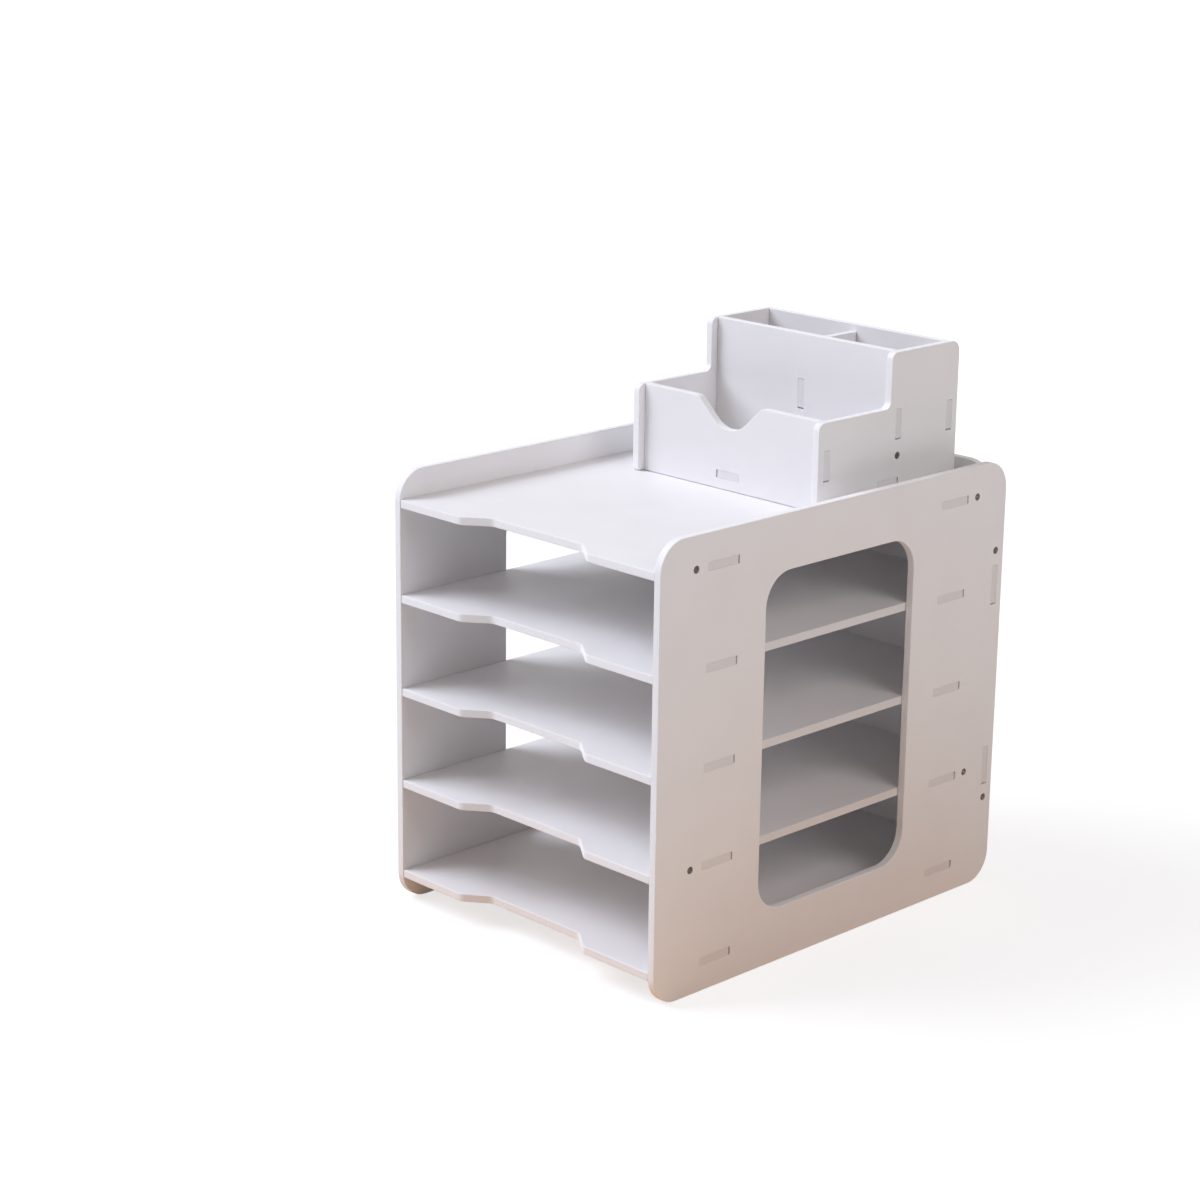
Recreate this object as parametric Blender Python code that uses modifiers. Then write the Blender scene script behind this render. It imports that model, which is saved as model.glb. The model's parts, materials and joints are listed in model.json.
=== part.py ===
"""Desk rack for documents, made of slotted board, with a pen caddy that lifts off its top plate.

Metres, +Z up. The origin is the middle of the rack's footprint, on the desk. The front faces -Y.
Every board is a flat outline with the same thickness. Tabs on the boards' edges run through slots in
the boards that they meet, and countersunk screws hold the joints.
"""

import math

import bmesh
import bpy
from mathutils import Vector

# Board and joints
BOARD = 0.0055
GAP = 0.0003
TAB_INSET = 0.0001
TAB_CORNER = 0.0008
SLOT_CORNER = 0.0006
SLOT_PLAY = 0.0007

# Rack
RACK_WIDTH = 0.245
RACK_DEPTH = 0.330
RACK_HEIGHT = 0.300
PANEL_CORNER = 0.020
WINDOW_STILE = 0.094
WINDOW_RAIL = 0.037
WINDOW_CORNER = 0.022

# Plates of the rack: four shelves and the top plate, at an even pitch
PLATE_COUNT = 5
FLOOR_CLEARANCE = 0.0172
TOP_RIM = 0.0188
PLATE_SETBACK = 0.0004
PLATE_TAB = 0.027
PLATE_TAB_FROM_EDGE = 0.0545
PLATE_SCREW_FROM_TAB = 0.02375
NOTCH_MOUTH = 0.117
NOTCH_FLOOR = 0.083
NOTCH_DEPTH = 0.013
NOTCH_FILLET = 0.007

# Back panel of the rack
BACK_INSET = 0.0055
BACK_MARGIN = 0.003
BACK_CORNER = 0.020
BACK_TAB = 0.027
BACK_SCREW_FROM_TAB = 0.02375

# Pen caddy
CADDY_WIDTH = 0.168
CADDY_DEPTH = 0.1385
CADDY_HEIGHT = 0.097
CADDY_FRONT_HEIGHT = 0.060
CADDY_STEP_FROM_FRONT = 0.070
CADDY_CORNER = 0.005
CADDY_REAR_CORNER = 0.007
CADDY_FOOT_CORNER = 0.002
CADDY_PANEL_INSET = 0.0055
CADDY_FLOOR_CLEARANCE = 0.0072
CADDY_TAB = 0.020
CADDY_FRONT_TAB_HEIGHT = 0.0315
CADDY_MIDDLE_TAB_HEIGHT = 0.049
CADDY_BACK_TAB_HEIGHT = 0.0475
CADDY_SCREW_FROM_TAB = 0.0215
CADDY_SIDE_SHIFT = 0.008
CADDY_REAR_ROOM = 0.0078
DIP_DEPTH = 0.014
DIP_RADIUS = 0.035
DIP_SLOPE = math.radians(43)
DIP_FILLET = 0.006
DIVIDER_DROP = 0.005
DIVIDER_TAB_HEIGHT = 0.056

# Countersunk screw
SCREW_LENGTH = 0.018
SCREW_TIP = 0.003
SCREW_SHANK_RADIUS = 0.00125
SCREW_HEAD_RADIUS = 0.0023
SCREW_HEAD_HEIGHT = 0.0014
SCREW_HEAD_RIM = 0.0003
SCREW_SINK = 0.0004
CROSS_REACH = 0.0014
CROSS_WIDTH = 0.0006
CROSS_TIP_WIDTH = 0.0004
CROSS_DEPTH = 0.0009
SCREW_SIDES = 12
SCREW_SHARP_ANGLE = math.radians(40)

# Fineness of the round outlines, and how far a cutter runs past the surface that it opens
ARC_SAG = 0.00012
WELD = 0.00001
OVERRUN = 0.0005

# Colours, linear, from the photograph
BOARD_COLOUR = (0.83, 0.81, 0.80)
BOARD_ROUGHNESS = 0.55
SCREW_COLOUR = (0.30, 0.27, 0.25)
SCREW_ROUGHNESS = 0.35

# Places worked out from the sizes above
PLATE_PITCH = (RACK_HEIGHT - FLOOR_CLEARANCE - TOP_RIM - BOARD) / (PLATE_COUNT - 1)
PLATE_LEVELS = [FLOOR_CLEARANCE + BOARD / 2 + PLATE_PITCH * row for row in range(PLATE_COUNT)]
TOP_ROW = PLATE_COUNT - 1
SCREWED_ROWS = [1, TOP_ROW]
BACK_TAB_ROWS = [1, TOP_ROW - 1]
PLATE_TAB_PLACE = RACK_DEPTH / 2 - PLATE_TAB_FROM_EDGE
PLATE_SCREW_PLACE = PLATE_TAB_PLACE + PLATE_SCREW_FROM_TAB
BACK_PLACE = RACK_DEPTH / 2 - BACK_INSET - BOARD / 2
BACK_FRONT_FACE = BACK_PLACE - BOARD / 2
RACK_INNER_HALF = RACK_WIDTH / 2 - BOARD - GAP
CADDY_INNER_HALF = CADDY_WIDTH / 2 - BOARD - GAP
CADDY_SIDE_PLACE = CADDY_WIDTH / 2 - BOARD / 2
CADDY_FRONT_PLACE = -CADDY_DEPTH / 2 + CADDY_PANEL_INSET + BOARD / 2
CADDY_STEP_PLACE = -CADDY_DEPTH / 2 + CADDY_STEP_FROM_FRONT
CADDY_MIDDLE_PLACE = CADDY_STEP_PLACE + CADDY_PANEL_INSET + BOARD / 2
CADDY_BACK_PLACE = CADDY_DEPTH / 2 - CADDY_PANEL_INSET - BOARD / 2
CADDY_FLOOR_PLACE = CADDY_FLOOR_CLEARANCE + BOARD / 2
CADDY_FLOOR_TOP = CADDY_FLOOR_CLEARANCE + BOARD
CADDY_SCREW_HEIGHT = CADDY_MIDDLE_TAB_HEIGHT - CADDY_SCREW_FROM_TAB
TOP_FACE = PLATE_LEVELS[TOP_ROW] + BOARD / 2

# Turns that stand a flat outline up: across the object facing the front, or along it facing the side
LYING = (0, 0, 0)
FACING_FRONT = (math.pi / 2, 0, 0)
FACING_SIDE = (math.pi / 2, 0, math.pi / 2)

SIDES = {"left": -1, "right": 1}
ENDS = {"front": -1, "rear": 1}


def clear_scene():
    """Remove whatever the file opens with."""
    for item in list(bpy.data.objects):
        bpy.data.objects.remove(item)


def new_collection(name):
    collection = bpy.data.collections.new(name)
    bpy.context.scene.collection.children.link(collection)
    return collection


def arc_steps(radius, sweep):
    """Number of chords that keep within ARC_SAG of an arc."""
    step = 2 * math.acos(max(0, 1 - ARC_SAG / radius))
    return max(2, math.ceil(sweep / step))


def filleted(corners):
    """Points of a closed outline whose corners are (x, y, radius), round corners as arcs."""
    points = []
    for index, (x, y, radius) in enumerate(corners):
        corner = Vector((x, y))
        back = Vector(corners[index - 1][:2]) - corner
        ahead = Vector(corners[(index + 1) % len(corners)][:2]) - corner
        if radius == 0:
            points.append((x, y))
            continue
        turn = math.pi - back.angle(ahead)
        reach = min(radius * math.tan(turn / 2), back.length / 2, ahead.length / 2)
        rounding = reach / math.tan(turn / 2)
        inward = (back.normalized() + ahead.normalized()).normalized()
        centre = corner + inward * math.hypot(reach, rounding)
        spoke = corner + back.normalized() * reach - centre
        way = math.copysign(1, -back.cross(ahead))
        steps = arc_steps(rounding, turn)
        for step in range(steps + 1):
            angle = way * turn * step / steps
            turned = Vector((spoke.x * math.cos(angle) - spoke.y * math.sin(angle),
                             spoke.x * math.sin(angle) + spoke.y * math.cos(angle)))
            points.append(tuple(centre + turned))
    return points


def mirrored(half):
    """Corners of an outline that is symmetric about x = 0, from those of its right half."""
    return half + [(-x, y, radius) for x, y, radius in reversed(half) if x > 0]


def tab(edge, tip, middle, length):
    """Corners of one tab on a board's right edge, which runs up the outline."""
    return [(edge, middle - length / 2, 0), (tip, middle - length / 2, TAB_CORNER),
            (tip, middle + length / 2, TAB_CORNER), (edge, middle + length / 2, 0)]


def rectangle(low_x, high_x, low_y, high_y, radius):
    return filleted([(low_x, low_y, radius), (high_x, low_y, radius),
                     (high_x, high_y, radius), (low_x, high_y, radius)])


def slot_along_x(x, y, length, play):
    """Slot for a tab that lies along x. The play lengthens it at its low or high end."""
    return rectangle(x - length / 2 - GAP + min(play, 0), x + length / 2 + GAP + max(play, 0),
                     y - BOARD / 2 - GAP, y + BOARD / 2 + GAP, SLOT_CORNER)


def slot_along_y(x, y, length, play):
    """Slot for a tab that lies along y. The play lengthens it at its low or high end."""
    return rectangle(x - BOARD / 2 - GAP, x + BOARD / 2 + GAP,
                     y - length / 2 - GAP + min(play, 0), y + length / 2 + GAP + max(play, 0),
                     SLOT_CORNER)


def evaluated_mesh(item):
    """Mesh of an object with its modifiers applied, welded. The object is removed."""
    evaluated = item.evaluated_get(bpy.context.evaluated_depsgraph_get())
    mesh = bpy.data.meshes.new_from_object(evaluated)
    mesh.name = item.name
    bpy.data.objects.remove(item)
    shape = bmesh.new()
    shape.from_mesh(mesh)
    bmesh.ops.remove_doubles(shape, verts=shape.verts, dist=WELD)
    shape.to_mesh(mesh)
    shape.free()
    return mesh


def flat_mesh(name, loops, thickness):
    """Mesh of a flat outline with holes, centred on its own thickness."""
    curve = bpy.data.curves.new(name, "CURVE")
    curve.dimensions = "2D"
    curve.fill_mode = "BOTH"
    curve.extrude = thickness / 2
    for loop in loops:
        spline = curve.splines.new("POLY")
        spline.points.add(len(loop) - 1)
        for point, (x, y) in zip(spline.points, loop):
            point.co = (x, y, 0, 1)
        spline.use_cyclic_u = True
    guide = bpy.data.objects.new(name, curve)
    bpy.context.scene.collection.objects.link(guide)
    return evaluated_mesh(guide)


def turned_object(name, profile):
    """Object that a profile of (radius, height) points gives when it is turned about Z."""
    mesh = bpy.data.meshes.new(name)
    edges = [(index, index + 1) for index in range(len(profile) - 1)]
    mesh.from_pydata([(radius, 0, height) for radius, height in profile], edges, [])
    item = bpy.data.objects.new(name, mesh)
    bpy.context.scene.collection.objects.link(item)
    turning = item.modifiers.new("turning", "SCREW")
    turning.axis = "Z"
    turning.angle = 2 * math.pi
    turning.steps = SCREW_SIDES
    turning.render_steps = SCREW_SIDES
    turning.use_merge_vertices = True
    turning.merge_threshold = WELD
    turning.use_smooth_shade = False
    return item


def add_cut(item, name, cutter=None, cutters=None):
    """Boolean cut by one object or by every object of a collection."""
    cutting = item.modifiers.new(name, "BOOLEAN")
    cutting.operation = "DIFFERENCE"
    cutting.solver = "EXACT"
    if cutters:
        cutting.operand_type = "COLLECTION"
        cutting.collection = cutters
    else:
        cutting.object = cutter


def screw_profile(grow, run_out):
    """Profile of the screw, or of the hole that clears it by grow and opens outwards by run_out."""
    head = SCREW_HEAD_RADIUS + grow
    shank = SCREW_SHANK_RADIUS + grow
    return [(0, run_out), (head, run_out), (head, -SCREW_HEAD_RIM), (shank, -SCREW_HEAD_HEIGHT - grow),
            (shank, -SCREW_LENGTH + SCREW_TIP), (0, -SCREW_LENGTH - grow)]


def screw_mesh():
    """Countersunk screw, its head's top at the origin and its tip down, with a cross recess."""
    screw = turned_object("screw", screw_profile(0, 0))
    root = CROSS_WIDTH / 2
    tip = CROSS_TIP_WIDTH / 2
    cross = []
    for x_way, y_way in [(1, 0), (0, 1), (-1, 0), (0, -1)]:
        for along, across in [(CROSS_REACH, -tip), (CROSS_REACH, tip), (root, root)]:
            cross.append((x_way * along - y_way * across, y_way * along + x_way * across))
    driver = bpy.data.objects.new("cross", flat_mesh("cross", [cross], CROSS_DEPTH + OVERRUN))
    bpy.context.scene.collection.objects.link(driver)
    driver.location.z = (OVERRUN - CROSS_DEPTH) / 2
    add_cut(screw, "cross_recess", cutter=driver)
    bpy.context.view_layer.update()
    mesh = evaluated_mesh(screw)
    bpy.data.objects.remove(driver)
    mesh.shade_smooth()
    mesh.set_sharp_from_angle(angle=SCREW_SHARP_ANGLE)
    return mesh


def add_material(item, colour, roughness, metallic):
    material = bpy.data.materials.new(item.name)
    material.use_nodes = True
    shader = material.node_tree.nodes["Principled BSDF"]
    shader.inputs["Base Color"].default_value = (*colour, 1)
    shader.inputs["Roughness"].default_value = roughness
    shader.inputs["Metallic"].default_value = metallic
    material.diffuse_color = (*colour, 1)
    item.material_slots[0].link = "OBJECT"
    item.material_slots[0].material = material


def add_piece(name, mesh, turn, place, parent):
    """Named object from a mesh, turned and placed under its parent."""
    if not mesh.materials:
        mesh.materials.append(None)
    piece = bpy.data.objects.new(name, mesh)
    OBJECT.objects.link(piece)
    piece.parent = parent
    piece.rotation_euler = turn
    piece.location = place
    return piece


def add_board(name, corners, holes, turn, place, parent):
    """Board cut to an outline, with its holes, in the finish that all boards share."""
    mesh = flat_mesh(name, [filleted(corners)] + holes, BOARD)
    board = add_piece(name, mesh, turn, place, parent)
    add_material(board, BOARD_COLOUR, BOARD_ROUGHNESS, metallic=0)
    return board


def add_empty(name, place):
    empty = bpy.data.objects.new(name, None)
    OBJECT.objects.link(empty)
    empty.location = place
    return empty


def add_screw(name, side, half_width, y, z, parent):
    """Screw through a side panel into the edge of the board behind it, and the cutter of its hole."""
    place = (side * (half_width - SCREW_SINK), y, z)
    turn = (0, side * math.pi / 2, 0)
    screw = add_piece(name, SCREW, turn, place, parent)
    add_material(screw, SCREW_COLOUR, SCREW_ROUGHNESS, metallic=1)
    cutter = bpy.data.objects.new(name + "_hole", SCREW_HOLE)
    CUTTERS.objects.link(cutter)
    cutter.parent = parent
    cutter.rotation_euler = turn
    cutter.location = place
    cutter.hide_render = True
    cutter.display_type = "WIRE"


def plate_name(row):
    if row == TOP_ROW:
        return "rack_top_plate"
    return f"rack_shelf_{TOP_ROW - row}"


def make_rack_side(name, side, parent):
    """Side panel: rounded outline, window, and a slot for each tab of the plates and back panel."""
    half = RACK_DEPTH / 2
    corners = [(-half, 0, PANEL_CORNER), (half, 0, PANEL_CORNER),
               (half, RACK_HEIGHT, PANEL_CORNER), (-half, RACK_HEIGHT, PANEL_CORNER)]
    window = rectangle(-half + WINDOW_STILE, half - WINDOW_STILE,
                       WINDOW_RAIL, RACK_HEIGHT - WINDOW_RAIL, WINDOW_CORNER)
    holes = [window]
    for level in PLATE_LEVELS:
        for end in ENDS.values():
            holes.append(slot_along_x(end * PLATE_TAB_PLACE, level, PLATE_TAB, SLOT_PLAY))
    for row in BACK_TAB_ROWS:
        holes.append(slot_along_y(BACK_PLACE, PLATE_LEVELS[row], BACK_TAB, -SLOT_PLAY))
    place = (side * (RACK_WIDTH - BOARD) / 2, 0, 0)
    panel = add_board(name, corners, holes, FACING_SIDE, place, parent)
    add_cut(panel, "screw_holes", cutters=CUTTERS)


def make_plate(row, parent):
    """Shelf or top plate: finger notch in the front edge and two tabs a side."""
    front = -RACK_DEPTH / 2 + PLATE_SETBACK
    tip = RACK_WIDTH / 2 - TAB_INSET
    half = [(NOTCH_FLOOR / 2, front + NOTCH_DEPTH, NOTCH_FILLET), (NOTCH_MOUTH / 2, front, NOTCH_FILLET),
            (RACK_INNER_HALF, front, 0)]
    for end in ENDS.values():
        half += tab(RACK_INNER_HALF, tip, end * PLATE_TAB_PLACE, PLATE_TAB)
    half.append((RACK_INNER_HALF, BACK_FRONT_FACE - GAP, 0))
    plate = add_board(plate_name(row), mirrored(half), [], LYING, (0, 0, PLATE_LEVELS[row]), parent)
    if row in SCREWED_ROWS:
        add_cut(plate, "screw_holes", cutters=CUTTERS)


def make_rack_back(parent):
    """Back panel between the side panels, its tabs at the levels of two shelves."""
    tip = RACK_WIDTH / 2 - TAB_INSET
    half = [(RACK_INNER_HALF, BACK_MARGIN, BACK_CORNER)]
    for row in BACK_TAB_ROWS:
        half += tab(RACK_INNER_HALF, tip, PLATE_LEVELS[row], BACK_TAB)
    half.append((RACK_INNER_HALF, RACK_HEIGHT - BACK_MARGIN, BACK_CORNER))
    panel = add_board("rack_back_panel", mirrored(half), [], FACING_FRONT, (0, BACK_PLACE, 0), parent)
    add_cut(panel, "screw_holes", cutters=CUTTERS)


def make_rack_screws(parent):
    """Screws beside the tabs: four to each screwed plate and two a side to the back panel."""
    middle_level = RACK_HEIGHT / 2
    for side_name, side in SIDES.items():
        for row in SCREWED_ROWS:
            for end_name, end in ENDS.items():
                name = f"screw_{plate_name(row)}_{side_name}_{end_name}"
                add_screw(name, side, RACK_WIDTH / 2, end * PLATE_SCREW_PLACE, PLATE_LEVELS[row], parent)
        for row in BACK_TAB_ROWS:
            away = math.copysign(BACK_SCREW_FROM_TAB, PLATE_LEVELS[row] - middle_level)
            name = f"screw_rack_back_{side_name}_{'upper' if away > 0 else 'lower'}"
            add_screw(name, side, RACK_WIDTH / 2, BACK_PLACE, PLATE_LEVELS[row] + away, parent)


def make_caddy_side(name, side, parent):
    """Stepped side panel of the caddy, with a slot for each board that it carries."""
    half = CADDY_DEPTH / 2
    corners = [(-half, 0, CADDY_FOOT_CORNER), (half, 0, CADDY_FOOT_CORNER),
               (half, CADDY_HEIGHT, CADDY_REAR_CORNER),
               (CADDY_STEP_PLACE, CADDY_HEIGHT, CADDY_CORNER),
               (CADDY_STEP_PLACE, CADDY_FRONT_HEIGHT, CADDY_CORNER),
               (-half, CADDY_FRONT_HEIGHT, CADDY_CORNER)]
    holes = [slot_along_y(CADDY_FRONT_PLACE, CADDY_FRONT_TAB_HEIGHT, CADDY_TAB, -SLOT_PLAY),
             slot_along_y(CADDY_MIDDLE_PLACE, CADDY_MIDDLE_TAB_HEIGHT, CADDY_TAB, -SLOT_PLAY),
             slot_along_y(CADDY_BACK_PLACE, CADDY_BACK_TAB_HEIGHT, CADDY_TAB, -SLOT_PLAY),
             slot_along_x(0, CADDY_FLOOR_PLACE, CADDY_TAB, SLOT_PLAY)]
    panel = add_board(name, corners, holes, FACING_SIDE, (side * CADDY_SIDE_PLACE, 0, 0), parent)
    add_cut(panel, "screw_hole", cutters=CUTTERS)


def make_caddy_front(parent):
    """Low front panel with a round dip in the middle of its top edge, and the floor's tab slot."""
    tip = CADDY_WIDTH / 2 - TAB_INSET
    dip_corner = DIP_DEPTH + DIP_RADIUS * (1 / math.cos(DIP_SLOPE) - 1)
    half = [(CADDY_INNER_HALF, 0, 0)]
    half += tab(CADDY_INNER_HALF, tip, CADDY_FRONT_TAB_HEIGHT, CADDY_TAB)
    half += [(CADDY_INNER_HALF, CADDY_FRONT_HEIGHT, 0),
             (dip_corner / math.tan(DIP_SLOPE), CADDY_FRONT_HEIGHT, DIP_FILLET),
             (0, CADDY_FRONT_HEIGHT - dip_corner, DIP_RADIUS)]
    holes = [slot_along_x(0, CADDY_FLOOR_PLACE, CADDY_TAB, -SLOT_PLAY)]
    add_board("caddy_front", mirrored(half), holes, FACING_FRONT, (0, CADDY_FRONT_PLACE, 0), parent)


def make_caddy_middle(parent):
    """Tall panel that stands on the floor across the step, with the divider's tab slot."""
    tip = CADDY_WIDTH / 2 - TAB_INSET
    half = [(CADDY_INNER_HALF, CADDY_FLOOR_TOP + GAP, 0)]
    half += tab(CADDY_INNER_HALF, tip, CADDY_MIDDLE_TAB_HEIGHT, CADDY_TAB)
    half.append((CADDY_INNER_HALF, CADDY_HEIGHT, 0))
    holes = [slot_along_y(0, DIVIDER_TAB_HEIGHT, CADDY_TAB, -SLOT_PLAY)]
    place = (0, CADDY_MIDDLE_PLACE, 0)
    panel = add_board("caddy_middle", mirrored(half), holes, FACING_FRONT, place, parent)
    add_cut(panel, "screw_holes", cutters=CUTTERS)


def make_caddy_back(parent):
    """Rear panel, with the tab slots of the divider and of the floor."""
    tip = CADDY_WIDTH / 2 - TAB_INSET
    half = [(CADDY_INNER_HALF, 0, 0)]
    half += tab(CADDY_INNER_HALF, tip, CADDY_BACK_TAB_HEIGHT, CADDY_TAB)
    half.append((CADDY_INNER_HALF, CADDY_HEIGHT, 0))
    holes = [slot_along_x(0, CADDY_FLOOR_PLACE, CADDY_TAB, SLOT_PLAY),
             slot_along_y(0, DIVIDER_TAB_HEIGHT, CADDY_TAB, -SLOT_PLAY)]
    add_board("caddy_back", mirrored(half), holes, FACING_FRONT, (0, CADDY_BACK_PLACE, 0), parent)


def make_caddy_floor(parent):
    """Raised floor with a tab into each of the four walls."""
    front = CADDY_FRONT_PLACE + BOARD / 2 + GAP
    rear = CADDY_BACK_PLACE - BOARD / 2 - GAP
    front_tip = CADDY_FRONT_PLACE - BOARD / 2 + TAB_INSET
    rear_tip = CADDY_BACK_PLACE + BOARD / 2 - TAB_INSET
    side_tip = CADDY_WIDTH / 2 - TAB_INSET
    half = [(CADDY_TAB / 2, front_tip, TAB_CORNER), (CADDY_TAB / 2, front, 0), (CADDY_INNER_HALF, front, 0)]
    half += tab(CADDY_INNER_HALF, side_tip, 0, CADDY_TAB)
    half += [(CADDY_INNER_HALF, rear, 0), (CADDY_TAB / 2, rear, 0), (CADDY_TAB / 2, rear_tip, TAB_CORNER)]
    add_board("caddy_floor", mirrored(half), [], LYING, (0, 0, CADDY_FLOOR_PLACE), parent)


def make_caddy_divider(parent):
    """Board along the rear compartment, with a tab into the panels before and behind it."""
    low_y = CADDY_MIDDLE_PLACE + BOARD / 2 + GAP
    high_y = CADDY_BACK_PLACE - BOARD / 2 - GAP
    low_tip = CADDY_MIDDLE_PLACE - BOARD / 2 + TAB_INSET
    high_tip = CADDY_BACK_PLACE + BOARD / 2 - TAB_INSET
    low_z = CADDY_FLOOR_TOP + GAP
    high_z = CADDY_HEIGHT - DIVIDER_DROP
    corners = [(low_y, low_z, 0), (high_y, low_z, 0)]
    corners += tab(high_y, high_tip, DIVIDER_TAB_HEIGHT, CADDY_TAB)
    corners += [(high_y, high_z, 0), (low_y, high_z, 0)]
    corners += list(reversed(tab(low_y, low_tip, DIVIDER_TAB_HEIGHT, CADDY_TAB)))
    add_board("caddy_divider", corners, [], FACING_SIDE, (0, 0, 0), parent)


def make_rack():
    rack = add_empty("rack", (0, 0, 0))
    make_rack_screws(rack)
    for side_name, side in SIDES.items():
        make_rack_side(f"rack_side_{side_name}", side, rack)
    for row in range(PLATE_COUNT):
        make_plate(row, rack)
    make_rack_back(rack)


def make_caddy():
    """Caddy under an empty on its lift axis, at the height where it stands on the top plate."""
    rear_face = BACK_FRONT_FACE - CADDY_REAR_ROOM
    caddy = add_empty("caddy", (CADDY_SIDE_SHIFT, rear_face - CADDY_DEPTH / 2, TOP_FACE + GAP))
    for side_name, side in SIDES.items():
        add_screw(f"screw_caddy_{side_name}", side, CADDY_WIDTH / 2, CADDY_MIDDLE_PLACE,
                  CADDY_SCREW_HEIGHT, caddy)
        make_caddy_side(f"caddy_side_{side_name}", side, caddy)
    make_caddy_front(caddy)
    make_caddy_middle(caddy)
    make_caddy_back(caddy)
    make_caddy_floor(caddy)
    make_caddy_divider(caddy)


clear_scene()
OBJECT = new_collection("document_organizer")
CUTTERS = new_collection("cutters")
SCREW = screw_mesh()
SCREW_HOLE = evaluated_mesh(turned_object("screw_hole", screw_profile(GAP, OVERRUN)))
make_rack()
make_caddy()
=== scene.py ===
import json
import math

import bpy
from mathutils import Euler, Matrix, Vector


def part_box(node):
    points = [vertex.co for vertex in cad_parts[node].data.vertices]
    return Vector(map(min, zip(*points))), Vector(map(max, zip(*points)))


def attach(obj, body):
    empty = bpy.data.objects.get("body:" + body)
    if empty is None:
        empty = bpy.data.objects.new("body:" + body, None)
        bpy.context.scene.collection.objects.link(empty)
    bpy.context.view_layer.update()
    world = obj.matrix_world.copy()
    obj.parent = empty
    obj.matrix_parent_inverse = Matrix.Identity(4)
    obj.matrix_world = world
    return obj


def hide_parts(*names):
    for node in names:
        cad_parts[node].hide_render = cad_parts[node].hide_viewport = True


# Looks of the document organizer: boards with eased edges, driven screws, materials, light and camera.
# Metres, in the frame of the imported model.

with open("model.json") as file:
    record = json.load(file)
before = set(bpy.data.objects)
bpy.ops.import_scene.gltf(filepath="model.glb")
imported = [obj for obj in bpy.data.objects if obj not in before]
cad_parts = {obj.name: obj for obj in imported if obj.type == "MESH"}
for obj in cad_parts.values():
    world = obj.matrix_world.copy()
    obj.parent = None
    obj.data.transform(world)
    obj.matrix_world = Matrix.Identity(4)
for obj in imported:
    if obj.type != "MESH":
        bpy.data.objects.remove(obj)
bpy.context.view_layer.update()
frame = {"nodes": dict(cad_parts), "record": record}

# Camera, solved from the rack's edges in the photograph
CAMERA_PLACE = (1.2523, -1.3149, 0.7367)
CAMERA_TURN = math.radians(45.77)
CAMERA_PITCH = math.radians(16.31)
CAMERA_ROLL = math.radians(0.68)
CAMERA_LENS = 84.63
CAMERA_REACH = 100

# Easing of the boards: their outlines by a light pass of sandpaper, their joints hardly at all
OUTLINE_EASE = 0.0005
JOINT_EASE = 0.00006
EASE_STEPS = 3

# Joints: how far each side of a slot is drawn in, and how near its carrier an edge lies in a joint
SLOT_TIGHTEN = 0.0002
JOINT_ROOM = 0.0005

# Widths that tell a board's holes apart: slots stay under the first, and screw holes under the second
JOINT_HOLE_REACH = 0.040
SCREW_HOLE_REACH = 0.010

# Points nearer than this are one
MERGE = 0.00001
# Faces that turn by less than this are one flat face
FLAT_ANGLE = math.radians(1)
# An edge that turns by more than this shades sharp
SHARP_ANGLE = math.radians(35)
# A face whose normal has this share along an axis looks that way
FACING = 0.95

# Screw: countersunk head with a cross recess
HEAD_RADIUS = 0.0023
HEAD_RIM = 0.0003
HEAD_HEIGHT = 0.0014
HEAD_EASE = 0.00015
HEAD_EASE_STEPS = 2
HEAD_SIDES = 32
SHANK_RADIUS = 0.00125
SHANK_LENGTH = 0.0136
TIP_LENGTH = 0.003
TIP_RADIUS = 0.0001
CROSS_REACH = 0.0034
CROSS_WIDTH = 0.0009
CROSS_FOOT_WIDTH = 0.0004
CROSS_DEPTH = 0.0010
CROSS_FOOT_REACH = 0.0016
SCREW_TURN = math.radians(37)

# Faces of the screw within this radius and this far under its top are the recess
RECESS_RADIUS = 0.0014
RECESS_BOTTOM = 0.0011

# Patterns of the finishes: how wide one patch of each is drawn, and how high the relief stands
CLOUD_WIDTH = 0.040
POLISH_WIDTH = 0.015
PEEL_WIDTH = 0.0012
PEEL_HEIGHT = 0.0001
MARK_WIDTH = 0.0010
CELL_WIDTH = 0.0007
CUT_HEIGHT = 0.0002
STAIN_WIDTH = 0.0010

# Scale of the cutter's marks across a board's thickness, where they run on for long
MARK_STRETCH = 0.08

# Refraction of PVC
PVC_IOR = 1.53

# Desk: a plane just under the rack, with a rectangle of warm wood that fades out round its rim
DESK_SIZE = 30
DESK_DROP = 0.0002
WOOD_MIDDLE = (0.14, -0.01, 0)
WOOD_HALF_SIZE = (0.20, 0.12, 0)
WOOD_FADE = 0.22

# Glow of the desk where it is seen: its strength by the rack, and from where to where it rises to 1
GLOW_NEAR = 0.70
GLOW_RISE_START = 0.5
GLOW_RISE_END = 2.5

# Light: an even sky, and square lamps by name, place, side, watts and colour
SKY_STRENGTH = 0.22
LAMP_AIM = (0, 0, 0.15)
LAMPS = (("window", (-2.60, -2.10, 3.30), 3.0, 219, "#EEF2FF"),
         ("room_fill", (2.3, -0.15, 1.75), 1.6, 21.8, "#FFFBFC"),
         ("rear_fill", (0, 3.0, 0.9), 1.8, 24, "#FFF8F4"))


def add_node(tree, kind, inputs=(), **settings):
    """Node with its settings; each input is a value, a colour or another node's output."""
    node = tree.nodes.new(kind)
    for name, value in settings.items():
        setattr(node, name, value)
    for name, value in dict(inputs).items():
        if isinstance(value, bpy.types.NodeSocket):
            tree.links.new(value, node.inputs[name])
        else:
            node.inputs[name].default_value = value
    return node


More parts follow.
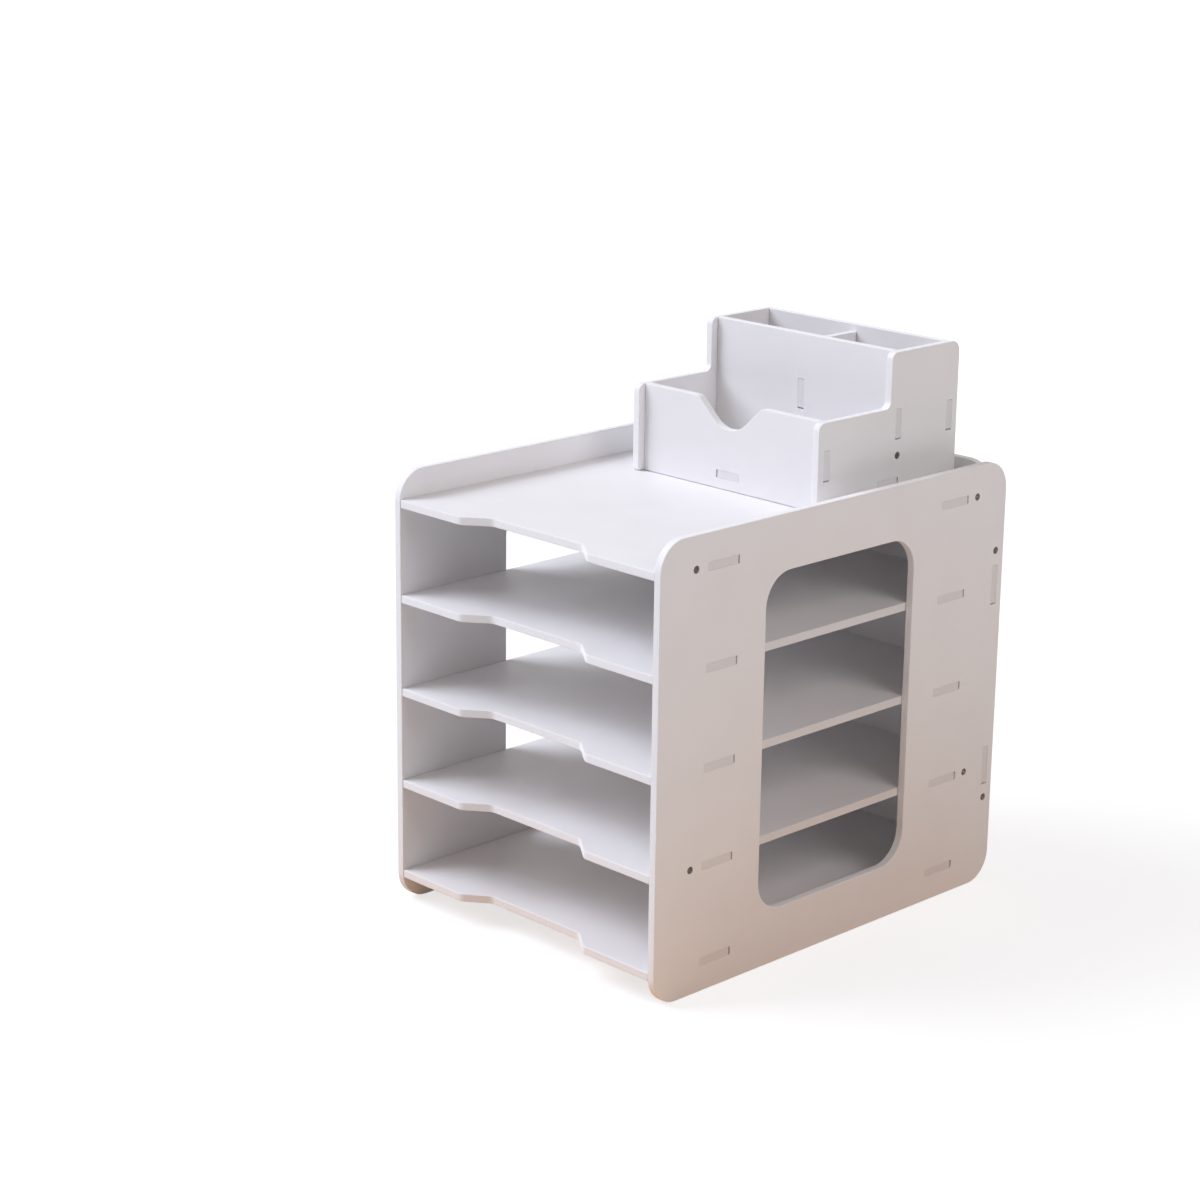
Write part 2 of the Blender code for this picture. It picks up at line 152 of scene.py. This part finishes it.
def srgb(hex_colour):
    """Linear colour of an sRGB hex value."""
    channels = [int(hex_colour[start:start + 2], 16) / 255 for start in (1, 3, 5)]
    linear = [c / 12.92 if c <= 0.04045 else ((c + 0.055) / 1.055) ** 2.4 for c in channels]
    return (*linear, 1)


def new_material(name):
    """Empty material with its tree and output."""
    material = bpy.data.materials.new(name)
    material.use_nodes = True
    tree = material.node_tree
    tree.nodes.clear()
    output = add_node(tree, "ShaderNodeOutputMaterial")
    return material, tree, output


def foam_board_skin():
    """White foamed PVC board, extruded: a dense satin skin with a faint orange peel."""
    material, tree, output = new_material("foamed_pvc_extruded_skin")
    place = add_node(tree, "ShaderNodeTexCoord").outputs["Object"]
    # Slow unevenness of the white over 40 mm, under one step of a paint chart
    cloud = add_node(tree, "ShaderNodeTexNoise", {"Vector": place, "Scale": 1 / CLOUD_WIDTH, "Detail": 2})
    tone = add_node(tree, "ShaderNodeMix", {"Factor": cloud.outputs["Fac"], "A": srgb("#E9E8E9"),
                                            "B": srgb("#EFEEEF")}, data_type="RGBA")
    # Orange peel is 0.5 mm across on the real board; drawn 1.2 mm across so that the camera can see it
    peel = add_node(tree, "ShaderNodeTexNoise", {"Vector": place, "Scale": 1 / PEEL_WIDTH, "Detail": 2})
    # Roller marks: patches 15 mm across that shine a little more
    polish = add_node(tree, "ShaderNodeTexNoise", {"Vector": place, "Scale": 1 / POLISH_WIDTH, "Detail": 3})
    sheen = add_node(tree, "ShaderNodeMapRange", {"Value": polish.outputs["Fac"], "From Min": 0.3,
                                                  "From Max": 0.7, "To Min": 0.42, "To Max": 0.52})
    bump = add_node(tree, "ShaderNodeBump", {"Height": peel.outputs["Fac"], "Strength": 0.10,
                                             "Distance": PEEL_HEIGHT})
    shader = add_node(tree, "ShaderNodeBsdfPrincipled", {"Base Color": tone.outputs["Result"],
                                                         "Roughness": sheen.outputs["Result"],
                                                         "IOR": PVC_IOR, "Normal": bump.outputs["Normal"]})
    tree.links.new(shader.outputs["BSDF"], output.inputs["Surface"])
    return material


def foam_board_edge(name, axis, pore_colour, wall_colour, depth):
    """The same board where a router cut it: open cells and the cutter's marks across the thickness."""
    material, tree, output = new_material(name)
    place = add_node(tree, "ShaderNodeTexCoord").outputs["Object"]
    # Cutter marks are 0.4 mm apart on the real edge; drawn 1 mm apart, and long across the thickness
    stretch = [1, 1, 1]
    stretch[axis] = MARK_STRETCH
    along = add_node(tree, "ShaderNodeMapping", {"Vector": place, "Scale": stretch})
    marks = add_node(tree, "ShaderNodeTexNoise", {"Vector": along.outputs["Vector"],
                                                  "Scale": 1 / MARK_WIDTH, "Detail": 1})
    # Cells of the foam core, 0.3 mm across on the real edge; drawn 0.7 mm across
    cells = add_node(tree, "ShaderNodeTexNoise", {"Vector": place, "Scale": 1 / CELL_WIDTH, "Detail": 2,
                                                  "Roughness": 0.6})
    relief = add_node(tree, "ShaderNodeMath", {0: marks.outputs["Fac"], 1: cells.outputs["Fac"]},
                      operation="ADD")
    pores = add_node(tree, "ShaderNodeMapRange", {"Value": cells.outputs["Fac"], "From Min": 0.3,
                                                  "From Max": 0.6, "To Min": 0, "To Max": 1})
    tone = add_node(tree, "ShaderNodeMix", {"Factor": pores.outputs["Result"], "A": srgb(pore_colour),
                                            "B": srgb(wall_colour)}, data_type="RGBA")
    bump = add_node(tree, "ShaderNodeBump", {"Height": relief.outputs["Value"], "Strength": depth,
                                             "Distance": CUT_HEIGHT})
    shader = add_node(tree, "ShaderNodeBsdfPrincipled", {"Base Color": tone.outputs["Result"],
                                                         "Roughness": 0.72, "IOR": PVC_IOR,
                                                         "Normal": bump.outputs["Normal"]})
    tree.links.new(shader.outputs["BSDF"], output.inputs["Surface"])
    return material


def steel(name, dark_colour, light_colour):
    """Cold-headed steel of a screw: uneven in colour and gloss."""
    material, tree, output = new_material(name)
    place = add_node(tree, "ShaderNodeTexCoord").outputs["Object"]
    # Stains 1 mm across
    stain = add_node(tree, "ShaderNodeTexNoise", {"Vector": place, "Scale": 1 / STAIN_WIDTH, "Detail": 3})
    tone = add_node(tree, "ShaderNodeMix", {"Factor": stain.outputs["Fac"], "A": srgb(dark_colour),
                                            "B": srgb(light_colour)}, data_type="RGBA")
    dullness = add_node(tree, "ShaderNodeMapRange", {"Value": stain.outputs["Fac"], "From Min": 0.3,
                                                     "From Max": 0.7, "To Min": 0.28, "To Max": 0.48})
    shader = add_node(tree, "ShaderNodeBsdfPrincipled", {"Base Color": tone.outputs["Result"],
                                                         "Metallic": 1.0,
                                                         "Roughness": dullness.outputs["Result"]})
    tree.links.new(shader.outputs["BSDF"], output.inputs["Surface"])
    return material


SKIN = foam_board_skin()
# The routed edges are drawn a little whiter than the skin: painted light, which brightens the front edges
EDGES = [foam_board_edge(f"foamed_pvc_routed_edge_{'xyz'[axis]}", axis, "#EDECED", "#F6F5F6", 0.12)
         for axis in range(3)]
# The tab ends are drawn a little greyer than the other cut edges
TAB_ENDS = [foam_board_edge(f"foamed_pvc_tab_end_{'xyz'[axis]}", axis, "#DDDCDD", "#E5E4E5", 0.08)
            for axis in range(3)]
# The plating is drawn dark: painted shade, for the dark ring round each head
PLATED = steel("plated_steel_painted_shade", "#3D3530", "#766D65")
# The recess is drawn in light steel: a painted highlight in the cross
RECESS_HIGHLIGHT = steel("steel_painted_highlight_in_recess", "#A59D94", "#D8D2CA")


def give_materials(piece, *materials):
    """These materials and no others, in this order."""
    piece.data.materials.clear()
    for material in materials:
        piece.data.materials.append(material)


def select_only(piece):
    bpy.ops.object.select_all(action="DESELECT")
    piece.select_set(True)
    bpy.context.view_layer.objects.active = piece


def add_object(name, data):
    """Object of that data, put into the scene."""
    added = bpy.data.objects.new(name, data)
    bpy.context.scene.collection.objects.link(added)
    return added


def apply_modifier(piece, kind, **settings):
    """Modifier with its settings, applied at once."""
    select_only(piece)
    modifier = piece.modifiers.new(kind.lower(), kind)
    for name, value in settings.items():
        setattr(modifier, name, value)
    bpy.ops.object.modifier_apply(modifier=modifier.name)


def edit_edges(piece, chosen):
    """Edit mode with only those edges selected whose both ends pass the test."""
    select_only(piece)
    bpy.ops.object.mode_set(mode="EDIT")
    bpy.ops.mesh.select_mode(type="EDGE")
    bpy.ops.mesh.select_all(action="DESELECT")
    bpy.ops.object.mode_set(mode="OBJECT")
    for edge in piece.data.edges:
        edge.select = all(chosen(piece.data.vertices[v].co) for v in edge.vertices)
    bpy.ops.object.mode_set(mode="EDIT")


def copy_of_node(name):
    """Merged copy of a CAD node, its flat faces whole again."""
    piece = add_object(name + "_eased", frame["nodes"][name].data.copy())
    select_only(piece)
    bpy.ops.mesh.customdata_custom_splitnormals_clear()
    bpy.ops.object.mode_set(mode="EDIT")
    bpy.ops.mesh.select_all(action="SELECT")
    bpy.ops.mesh.remove_doubles(threshold=MERGE)
    bpy.ops.mesh.dissolve_limited(angle_limit=FLAT_ANGLE)
    bpy.ops.object.mode_set(mode="OBJECT")
    return piece


def carrier_boxes(name):
    """Boxes of the boards that take this board's tabs."""
    carriers = []
    if name.startswith("rack_") and "side" not in name:
        carriers = ["rack_side_left", "rack_side_right"]
    elif name in ("caddy_front", "caddy_middle", "caddy_back"):
        carriers = ["caddy_side_left", "caddy_side_right"]
    elif name == "caddy_floor":
        carriers = ["caddy_side_left", "caddy_side_right", "caddy_front", "caddy_back"]
    elif name == "caddy_divider":
        carriers = ["caddy_middle", "caddy_back"]
    return [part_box(carrier) for carrier in carriers]


def within(point, box, room):
    """Whether the point lies in the box, or no further than that room outside it."""
    low, high = box
    return all(low[i] - room <= point[i] <= high[i] + room for i in range(3))


def edge_loops(mesh, edges):
    """Groups of the edges that hang together."""
    by_vertex = {}
    for edge in edges:
        for vertex in edge.vertices:
            by_vertex.setdefault(vertex, []).append(edge)
    left = {edge.index for edge in edges}
    loops = []
    while left:
        start = left.pop()
        loop, front = [start], [start]
        while front:
            for vertex in mesh.edges[front.pop()].vertices:
                for edge in by_vertex[vertex]:
                    if edge.index in left:
                        left.remove(edge.index)
                        loop.append(edge.index)
                        front.append(edge.index)
        loops.append(loop)
    return loops


def face_rims(name, piece, axis):
    """Edges round a board's two faces, in groups: its outline, its windows and each hole."""
    mesh = piece.data
    levels = [corner[axis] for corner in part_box(name)]
    uses = {}
    for face in mesh.polygons:
        on_level = min(abs(face.center[axis] - level) for level in levels) < MERGE
        if on_level and abs(face.normal[axis]) > FACING:
            for key in face.edge_keys:
                uses[key] = uses.get(key, 0) + 1
    rims = [edge for edge in mesh.edges if uses.get(tuple(sorted(edge.vertices)), 0) == 1]
    return edge_loops(mesh, rims)


def box_of_edges(mesh, edges):
    """Lowest and highest corner of those edges."""
    points = [mesh.vertices[v].co for index in edges for v in mesh.edges[index].vertices]
    return [Vector([pick(point[i] for point in points) for i in range(3)]) for pick in (min, max)]


def tighten_slots(name, piece, axis):
    """Draw each slot close round its tab, as the real joints are; the model leaves a wider gap there."""
    bottom, top = [corner[axis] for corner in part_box(name)]
    slots = []
    for rim in face_rims(name, piece, axis):
        low, high = box_of_edges(piece.data, rim)
        if SCREW_HOLE_REACH < max(high - low) < JOINT_HOLE_REACH and abs(high[axis] - top) < MERGE:
            low[axis] = bottom
            slots.append((low, high))
    for slot in slots:
        low, high = slot
        edit_edges(piece, lambda point: within(point, slot, MERGE))
        share = [1 if i == axis else 1 - 2 * SLOT_TIGHTEN / (high[i] - low[i]) for i in range(3)]
        bpy.ops.transform.resize(value=share, center_override=(low + high) / 2)
        bpy.ops.object.mode_set(mode="OBJECT")


def ease_weights(name, piece, axis, taking):
    """Bevel weight of each edge of a board's two faces: whole on outlines and windows, small at joints."""
    mesh = piece.data
    weights = mesh.attributes.new("bevel_weight_edge", "FLOAT", "EDGE").data
    for rim in face_rims(name, piece, axis):
        low, high = box_of_edges(mesh, rim)
        for index in rim:
            ends = [mesh.vertices[v].co for v in mesh.edges[index].vertices]
            in_joint = any(any(within(end, box, MERGE) for end in ends)
                           or all(within(end, box, JOINT_ROOM) for end in ends) for box in taking)
            if max(high - low) < JOINT_HOLE_REACH:
                weights[index].value = JOINT_EASE / OUTLINE_EASE
            else:
                weights[index].value = 0 if in_joint else 1


def finish_faces(name, piece, axis, taking):
    """Skin on a board's two faces, the greyer finish on its tab ends and, as painted shade, on the plates'
    side edges, and the routed one on other cuts.
    """
    give_materials(piece, SKIN, EDGES[axis], TAB_ENDS[axis])
    skin, edge, tab_end = range(3)
    # The plates' side edges, which show in the side windows, take the greyer tab-end finish: painted shade
    # inside the windows
    painted_shade_sides = name.startswith(("rack_top_plate", "rack_shelf"))
    for face in piece.data.polygons:
        if abs(face.normal[axis]) > FACING:
            face.material_index = skin
        elif any(within(face.center, box, MERGE) for box in taking):
            face.material_index = tab_end
        elif painted_shade_sides and abs(face.normal.x) > FACING:
            face.material_index = tab_end
        else:
            face.material_index = edge


def eased_board(name, body):
    """Board with tight slots, eased edges and its finishes."""
    low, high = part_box(name)
    axis = min(range(3), key=lambda i: high[i] - low[i])
    taking = carrier_boxes(name)
    piece = copy_of_node(name)
    tighten_slots(name, piece, axis)
    ease_weights(name, piece, axis, taking)
    apply_modifier(piece, "BEVEL", limit_method="WEIGHT", width=OUTLINE_EASE, segments=EASE_STEPS,
                   use_clamp_overlap=False, loop_slide=False)
    finish_faces(name, piece, axis, taking)
    bpy.ops.object.shade_smooth_by_angle(angle=SHARP_ANGLE)
    apply_modifier(piece, "WEIGHTED_NORMAL", keep_sharp=True)
    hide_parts(name)
    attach(piece, body)


def screw_blank():
    """Countersunk screw with its head's top at the origin and its tip down, no recess yet."""
    bpy.ops.object.select_all(action="DESELECT")
    bpy.ops.mesh.primitive_circle_add(vertices=HEAD_SIDES, radius=HEAD_RADIUS, fill_type="NGON")
    screw = bpy.context.object
    screw.name = "screw_pattern"
    bpy.ops.object.mode_set(mode="EDIT")
    bpy.ops.mesh.select_all(action="SELECT")
    steps = [(HEAD_RIM, HEAD_RADIUS), (HEAD_HEIGHT - HEAD_RIM, SHANK_RADIUS), (SHANK_LENGTH, SHANK_RADIUS),
             (TIP_LENGTH - TIP_RADIUS, TIP_RADIUS)]
    radius = HEAD_RADIUS
    for drop, next_radius in steps:
        bpy.ops.mesh.extrude_region_move(TRANSFORM_OT_translate={"value": (0, 0, -drop)})
        share = next_radius / radius
        bpy.ops.transform.resize(value=(share, share, 1))
        radius = next_radius
    bpy.ops.mesh.select_all(action="SELECT")
    bpy.ops.mesh.normals_make_consistent(inside=False)
    bpy.ops.object.mode_set(mode="OBJECT")
    edit_edges(screw, lambda point: point.z > -MERGE)
    bpy.ops.mesh.bevel(offset=HEAD_EASE, segments=HEAD_EASE_STEPS, affect="EDGES")
    bpy.ops.object.mode_set(mode="OBJECT")
    return screw


def cut_cross_arm(screw, turn):
    """One arm of the cross recess, narrower at its foot."""
    bpy.ops.object.select_all(action="DESELECT")
    bpy.ops.mesh.primitive_cube_add(size=1, location=(0, 0, 0),
                                    scale=(CROSS_REACH, CROSS_WIDTH, 2 * CROSS_DEPTH))
    arm = bpy.context.object
    bpy.ops.object.transform_apply(location=False, rotation=False, scale=True)
    edit_edges(arm, lambda point: point.z < 0)
    bpy.ops.transform.resize(value=(CROSS_FOOT_REACH / CROSS_REACH, CROSS_FOOT_WIDTH / CROSS_WIDTH, 1))
    bpy.ops.object.mode_set(mode="OBJECT")
    arm.rotation_euler.z = turn
    apply_modifier(screw, "BOOLEAN", operation="DIFFERENCE", solver="EXACT", object=arm)
    bpy.data.objects.remove(arm)


def screw_pattern():
    """Screw with its cross recess, in dark plating as painted shade, and in light steel inside the recess
    as a painted highlight.
    """
    screw = screw_blank()
    for turn in (0, math.pi / 2):
        cut_cross_arm(screw, turn)
    give_materials(screw, PLATED, RECESS_HIGHLIGHT)
    plated, recess_highlight = range(2)
    for face in screw.data.polygons:
        x, y, z = face.center
        in_recess = math.hypot(x, y) < RECESS_RADIUS and -RECESS_BOTTOM < z < -MERGE
        face.material_index = recess_highlight if in_recess else plated
    bpy.ops.object.shade_smooth_by_angle(angle=SHARP_ANGLE)
    return screw


def driven_screw(name, body, pattern, index):
    """Copy of the screw where its node is, turned to where the driver stopped."""
    low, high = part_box(name)
    side = 1 if "right" in name else -1
    head = high if side > 0 else low
    piece = add_object(name + "_driven", pattern.data.copy())
    turn = Matrix.Rotation(side * math.pi / 2, 3, "Y") @ Matrix.Rotation(index * SCREW_TURN, 3, "Z")
    piece.rotation_euler = turn.to_euler()
    piece.location = (head.x, (low.y + high.y) / 2, (low.z + high.z) / 2)
    select_only(piece)
    bpy.ops.object.transform_apply(location=True, rotation=True, scale=True)
    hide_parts(name)
    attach(piece, body)


def dress_nodes():
    """Every board eased, and every screw driven, each turned on from the one before."""
    pattern = screw_pattern()
    screws = 0
    for body, members in frame["record"]["behaviour"]["bodies"].items():
        for name in members:
            if name.startswith("screw_"):
                driven_screw(name, body, pattern, screws)
                screws += 1
            else:
                eased_board(name, body)
    bpy.data.objects.remove(pattern)


def seen_as_background(tree):
    """1 where the camera sees it, straight, mirrored or through glass, and 0 where it lights the boards."""
    path = add_node(tree, "ShaderNodeLightPath")
    seen = path.outputs["Is Camera Ray"]
    for ray in ("Is Glossy Ray", "Is Transmission Ray"):
        either = add_node(tree, "ShaderNodeMath", {0: seen, 1: path.outputs[ray]}, operation="MAXIMUM")
        seen = either.outputs["Value"]
    return seen


def desk_material():
    """Pale desk: white with the soft shadow where it is seen, warm wood where it lights the boards."""
    material, tree, output = new_material("pale_desk")
    place = add_node(tree, "ShaderNodeTexCoord").outputs["Object"]
    shadow = add_node(tree, "ShaderNodeBsdfDiffuse", {"Color": srgb("#AAAAAC")})
    # Past the lamps' reach the desk glows a little more, so that it stays white up to the horizon
    reach = add_node(tree, "ShaderNodeVectorMath", {0: place}, operation="LENGTH")
    glow = add_node(tree, "ShaderNodeMapRange", {"Value": reach.outputs["Value"],
                                                 "From Min": GLOW_RISE_START, "From Max": GLOW_RISE_END,
                                                 "To Min": GLOW_NEAR, "To Max": 1})
    shine = add_node(tree, "ShaderNodeEmission", {"Color": srgb("#FFFFFF"),
                                                 "Strength": glow.outputs["Result"]})
    white = add_node(tree, "ShaderNodeAddShader", {0: shadow.outputs["BSDF"], 1: shine.outputs["Emission"]})
    # Distance from the rectangle of wood, 0 all over it: the wood is warm, the room past it plain and pale
    past = place
    for operation, by in (("SUBTRACT", WOOD_MIDDLE), ("ABSOLUTE", (0, 0, 0)),
                          ("SUBTRACT", WOOD_HALF_SIZE), ("MAXIMUM", (0, 0, 0))):
        step = add_node(tree, "ShaderNodeVectorMath", {0: past, 1: by}, operation=operation)
        past = step.outputs["Vector"]
    outside = add_node(tree, "ShaderNodeVectorMath", {0: past}, operation="LENGTH")
    fade = add_node(tree, "ShaderNodeMapRange", {"Value": outside.outputs["Value"], "From Min": 0,
                                                 "From Max": WOOD_FADE})
    tone = add_node(tree, "ShaderNodeMix", {"Factor": fade.outputs["Result"], "A": srgb("#E2A660"),
                                            "B": srgb("#E0DFDC")}, data_type="RGBA")
    warm = add_node(tree, "ShaderNodeBsdfDiffuse", {"Color": tone.outputs["Result"]})
    mix = add_node(tree, "ShaderNodeMixShader", {0: seen_as_background(tree), 1: warm.outputs["BSDF"],
                                                 2: white.outputs["Shader"]})
    tree.links.new(mix.outputs["Shader"], output.inputs["Surface"])
    return material


def add_desk():
    bpy.ops.object.select_all(action="DESELECT")
    bpy.ops.mesh.primitive_plane_add(size=DESK_SIZE, location=(0, 0, -DESK_DROP))
    desk = bpy.context.object
    desk.name = "desk"
    desk.data.materials.append(desk_material())


def light_world():
    """Even daylight from all round, which the camera sees as white."""
    world = bpy.data.worlds.new("daylight")
    bpy.context.scene.world = world
    world.use_nodes = True
    tree = world.node_tree
    tree.nodes.clear()
    sky = add_node(tree, "ShaderNodeBackground", {"Color": srgb("#FFF4EE"), "Strength": SKY_STRENGTH})
    white = add_node(tree, "ShaderNodeBackground", {"Color": srgb("#FFFFFF"), "Strength": 1})
    mix = add_node(tree, "ShaderNodeMixShader", {0: seen_as_background(tree), 1: sky.outputs["Background"],
                                                 2: white.outputs["Background"]})
    output = add_node(tree, "ShaderNodeOutputWorld")
    tree.links.new(mix.outputs["Shader"], output.inputs["Surface"])


def add_lamp(name, place, size, power, colour):
    lamp = bpy.data.lights.new(name, "AREA")
    lamp.shape = "SQUARE"
    lamp.size = size
    lamp.energy = power
    lamp.color = srgb(colour)[:3]
    holder = add_object(name, lamp)
    holder.location = place
    holder.rotation_euler = (Vector(LAMP_AIM) - Vector(place)).to_track_quat("-Z", "Y").to_euler()


def add_camera():
    camera = bpy.data.cameras.new("camera")
    camera.lens = CAMERA_LENS
    camera.clip_end = CAMERA_REACH
    holder = add_object("camera", camera)
    aim = Euler((math.pi / 2 - CAMERA_PITCH, 0, CAMERA_TURN)).to_matrix()
    turn = aim @ Matrix.Rotation(CAMERA_ROLL, 3, "Z")
    holder.rotation_euler = turn.to_euler()
    holder.location = CAMERA_PLACE
    bpy.context.scene.camera = holder


dress_nodes()
add_desk()
light_world()
for lamp in LAMPS:
    add_lamp(*lamp)
add_camera()
bpy.context.scene.view_settings.view_transform = "Standard"
